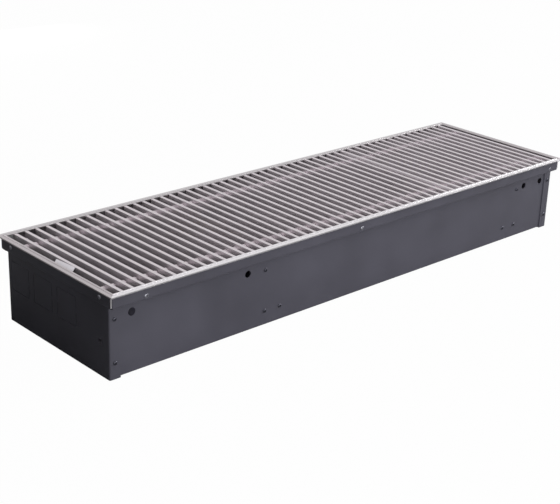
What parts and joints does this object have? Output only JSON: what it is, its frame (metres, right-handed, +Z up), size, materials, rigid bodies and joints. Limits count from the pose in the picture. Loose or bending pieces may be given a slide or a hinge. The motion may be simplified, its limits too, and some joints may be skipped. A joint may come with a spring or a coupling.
{
  "type": "trench convector heater",
  "caption": "In-floor trench heater: folded steel trough, finned tube exchanger inside, and a roll-up bar grille lying in an edge frame.",
  "frame": {"origin": "bottom centre of the trough, on the surface it stands on", "axes": "+X along the length, from the end with pipe knock-outs to the other end; +Y from the front wall to the rear wall beside the exchanger; +Z up"},
  "size_m": [1.0034, 0.292, 0.1337],
  "materials": {
    "painted_steel": "fine satin powder coat",
    "anodised_frame": "satin anodised",
    "anodised_bars": "satin anodised",
    "spacer_plastic": "moulded grey plastic",
    "spring_steel": "drawn wire",
    "tag_foil": "bare foil",
    "zinc_sheet": "galvanised",
    "zinc_screws": "zinc plated",
    "black_screws": "blackened",
    "copper_tube": "drawn copper",
    "fin_aluminium": "mill finish",
    "brass": "machined",
    "black_rubber": "matt"
  },
  "bodies": {
    "casing": {"trough_pan": "painted_steel", "end_plate_left": "painted_steel", "end_plate_right": "painted_steel", "frame_front": "anodised_frame", "frame_rear": "anodised_frame", "frame_end_left": "anodised_frame", "frame_end_right": "anodised_frame", "corner_keys": "zinc_sheet", "ledge_strip_front": "black_rubber", "ledge_strip_rear": "black_rubber", "bracket_left": "zinc_sheet", "bracket_right": "zinc_sheet", "heater_tubes": "copper_tube", "heater_fins": "fin_aluminium", "fin_guards": "zinc_sheet", "return_bends": "copper_tube", "tube_grommets": "black_rubber", "flow_port": "brass", "return_port": "brass", "vent_body": "brass", "hole_plugs": "black_rubber", "bracket_screws": "black_screws", "corner_screws": "black_screws", "frame_screws": "black_screws", "end_rail_screws": "black_screws", "rivet_nuts": "zinc_screws"},
    "grille": {"grille_bars": "anodised_bars", "grille_spacers": "spacer_plastic", "spring_wire_front": "spring_steel", "spring_wire_rear": "spring_steel"},
    "roll_1": {"roll_bar_1": "anodised_bars", "roll_spacers_1": "spacer_plastic", "name_tag": "tag_foil"},
    "roll_2": {"roll_bar_2": "anodised_bars", "roll_spacers_2": "spacer_plastic"},
    "roll_3": {"roll_bar_3": "anodised_bars", "roll_spacers_3": "spacer_plastic"},
    "roll_4": {"roll_bar_4": "anodised_bars", "roll_spacers_4": "spacer_plastic"},
    "roll_5": {"roll_bar_5": "anodised_bars", "roll_spacers_5": "spacer_plastic"},
    "roll_6": {"roll_bar_6": "anodised_bars", "roll_spacers_6": "spacer_plastic"},
    "roll_7": {"roll_bar_7": "anodised_bars", "roll_spacers_7": "spacer_plastic"},
    "roll_8": {"roll_bar_8": "anodised_bars", "roll_spacers_8": "spacer_plastic"},
    "vent_screw": {"vent_screw": "brass"},
    "levelling_screw_1": {"levelling_screw_1": "zinc_screws"},
    "levelling_screw_2": {"levelling_screw_2": "zinc_screws"},
    "levelling_screw_3": {"levelling_screw_3": "zinc_screws"},
    "levelling_screw_4": {"levelling_screw_4": "zinc_screws"}
  },
  "joints": [
    {"name": "grille_lift", "type": "slide", "parent": "casing", "child": "grille", "axis": [0, 0, 1], "range_m": [0, 0.12]},
    {"name": "grille_roll", "type": "hinge", "parent": "grille", "child": "roll_8", "pos_m": [-0.33685, 0, 0.12415], "axis": [0, 1, 0], "range_deg": [0, 22]},
    {"name": "grille_roll_7", "type": "hinge", "parent": "roll_8", "child": "roll_7", "pos_m": [-0.35515, 0, 0.12415], "axis": [0, 1, 0], "range_deg": [0, 22]},
    {"name": "grille_roll_6", "type": "hinge", "parent": "roll_7", "child": "roll_6", "pos_m": [-0.37345, 0, 0.12415], "axis": [0, 1, 0], "range_deg": [0, 22]},
    {"name": "grille_roll_5", "type": "hinge", "parent": "roll_6", "child": "roll_5", "pos_m": [-0.39175, 0, 0.12415], "axis": [0, 1, 0], "range_deg": [0, 22]},
    {"name": "grille_roll_4", "type": "hinge", "parent": "roll_5", "child": "roll_4", "pos_m": [-0.41005, 0, 0.12415], "axis": [0, 1, 0], "range_deg": [0, 22]},
    {"name": "grille_roll_3", "type": "hinge", "parent": "roll_4", "child": "roll_3", "pos_m": [-0.42835, 0, 0.12415], "axis": [0, 1, 0], "range_deg": [0, 22]},
    {"name": "grille_roll_2", "type": "hinge", "parent": "roll_3", "child": "roll_2", "pos_m": [-0.44665, 0, 0.12415], "axis": [0, 1, 0], "range_deg": [0, 22]},
    {"name": "grille_roll_1", "type": "hinge", "parent": "roll_2", "child": "roll_1", "pos_m": [-0.46495, 0, 0.12415], "axis": [0, 1, 0], "range_deg": [0, 22]},
    {"name": "vent_turn", "type": "hinge", "parent": "casing", "child": "vent_screw", "pos_m": [-0.2348, 0.035, 0.1], "axis": [0, 0, 1], "range_deg": [0, 720]},
    {"name": "levelling_1", "type": "slide", "parent": "casing", "child": "levelling_screw_1", "axis": [0, 0, -1], "range_m": [0, 0.025]},
    {"name": "levelling_2", "type": "slide", "parent": "casing", "child": "levelling_screw_2", "axis": [0, 0, -1], "range_m": [0, 0.025]},
    {"name": "levelling_3", "type": "slide", "parent": "casing", "child": "levelling_screw_3", "axis": [0, 0, -1], "range_m": [0, 0.025]},
    {"name": "levelling_4", "type": "slide", "parent": "casing", "child": "levelling_screw_4", "axis": [0, 0, -1], "range_m": [0, 0.025]}
  ],
  "couplings": [
    {"joint": "grille_roll_7", "follows": "grille_roll", "ratio": 1},
    {"joint": "grille_roll_6", "follows": "grille_roll", "ratio": 1},
    {"joint": "grille_roll_5", "follows": "grille_roll", "ratio": 1},
    {"joint": "grille_roll_4", "follows": "grille_roll", "ratio": 1},
    {"joint": "grille_roll_3", "follows": "grille_roll", "ratio": 1},
    {"joint": "grille_roll_2", "follows": "grille_roll", "ratio": 1},
    {"joint": "grille_roll_1", "follows": "grille_roll", "ratio": 1}
  ]
}
